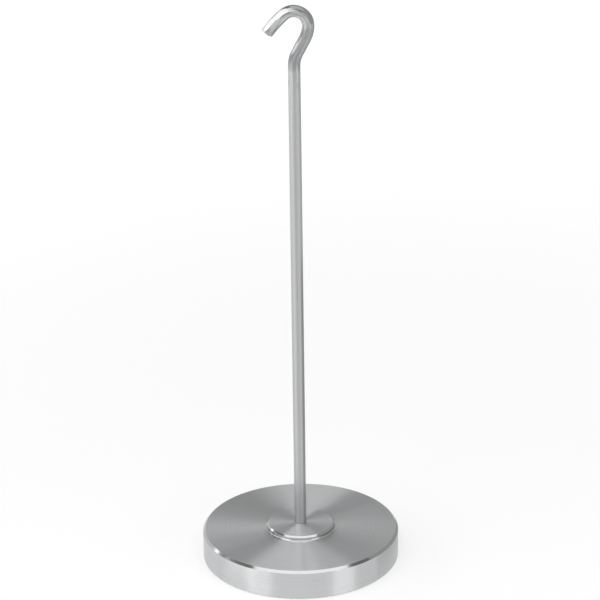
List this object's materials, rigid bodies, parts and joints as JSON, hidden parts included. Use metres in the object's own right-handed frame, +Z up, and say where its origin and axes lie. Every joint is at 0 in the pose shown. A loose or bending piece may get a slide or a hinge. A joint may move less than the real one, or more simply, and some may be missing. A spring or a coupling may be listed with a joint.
{
  "type": "weight hanger",
  "caption": "Weight hanger: a bright steel rod with a hook bent at its top, standing in a heavy turned disc whose raised boss centres slotted weights.",
  "frame": {"origin": "centre of the disc's underside, on the rod's axis, at table height", "axes": "+Z up along the rod; the hook lies in the XZ plane with its tip towards -X"},
  "size_m": [0.1, 0.1, 0.29],
  "materials": {
    "turned_steel": "fine turned stainless steel, with concentric tool marks",
    "bright_bar": "bright drawn stainless steel bar, with fine marks along its length",
    "fastener_steel": "plain bright stainless steel fastener"
  },
  "bodies": {
    "root": {"base_disc": "turned_steel", "hook_rod": "bright_bar", "hex_nut": "fastener_steel", "plain_washer": "fastener_steel"}
  },
  "joints": []
}
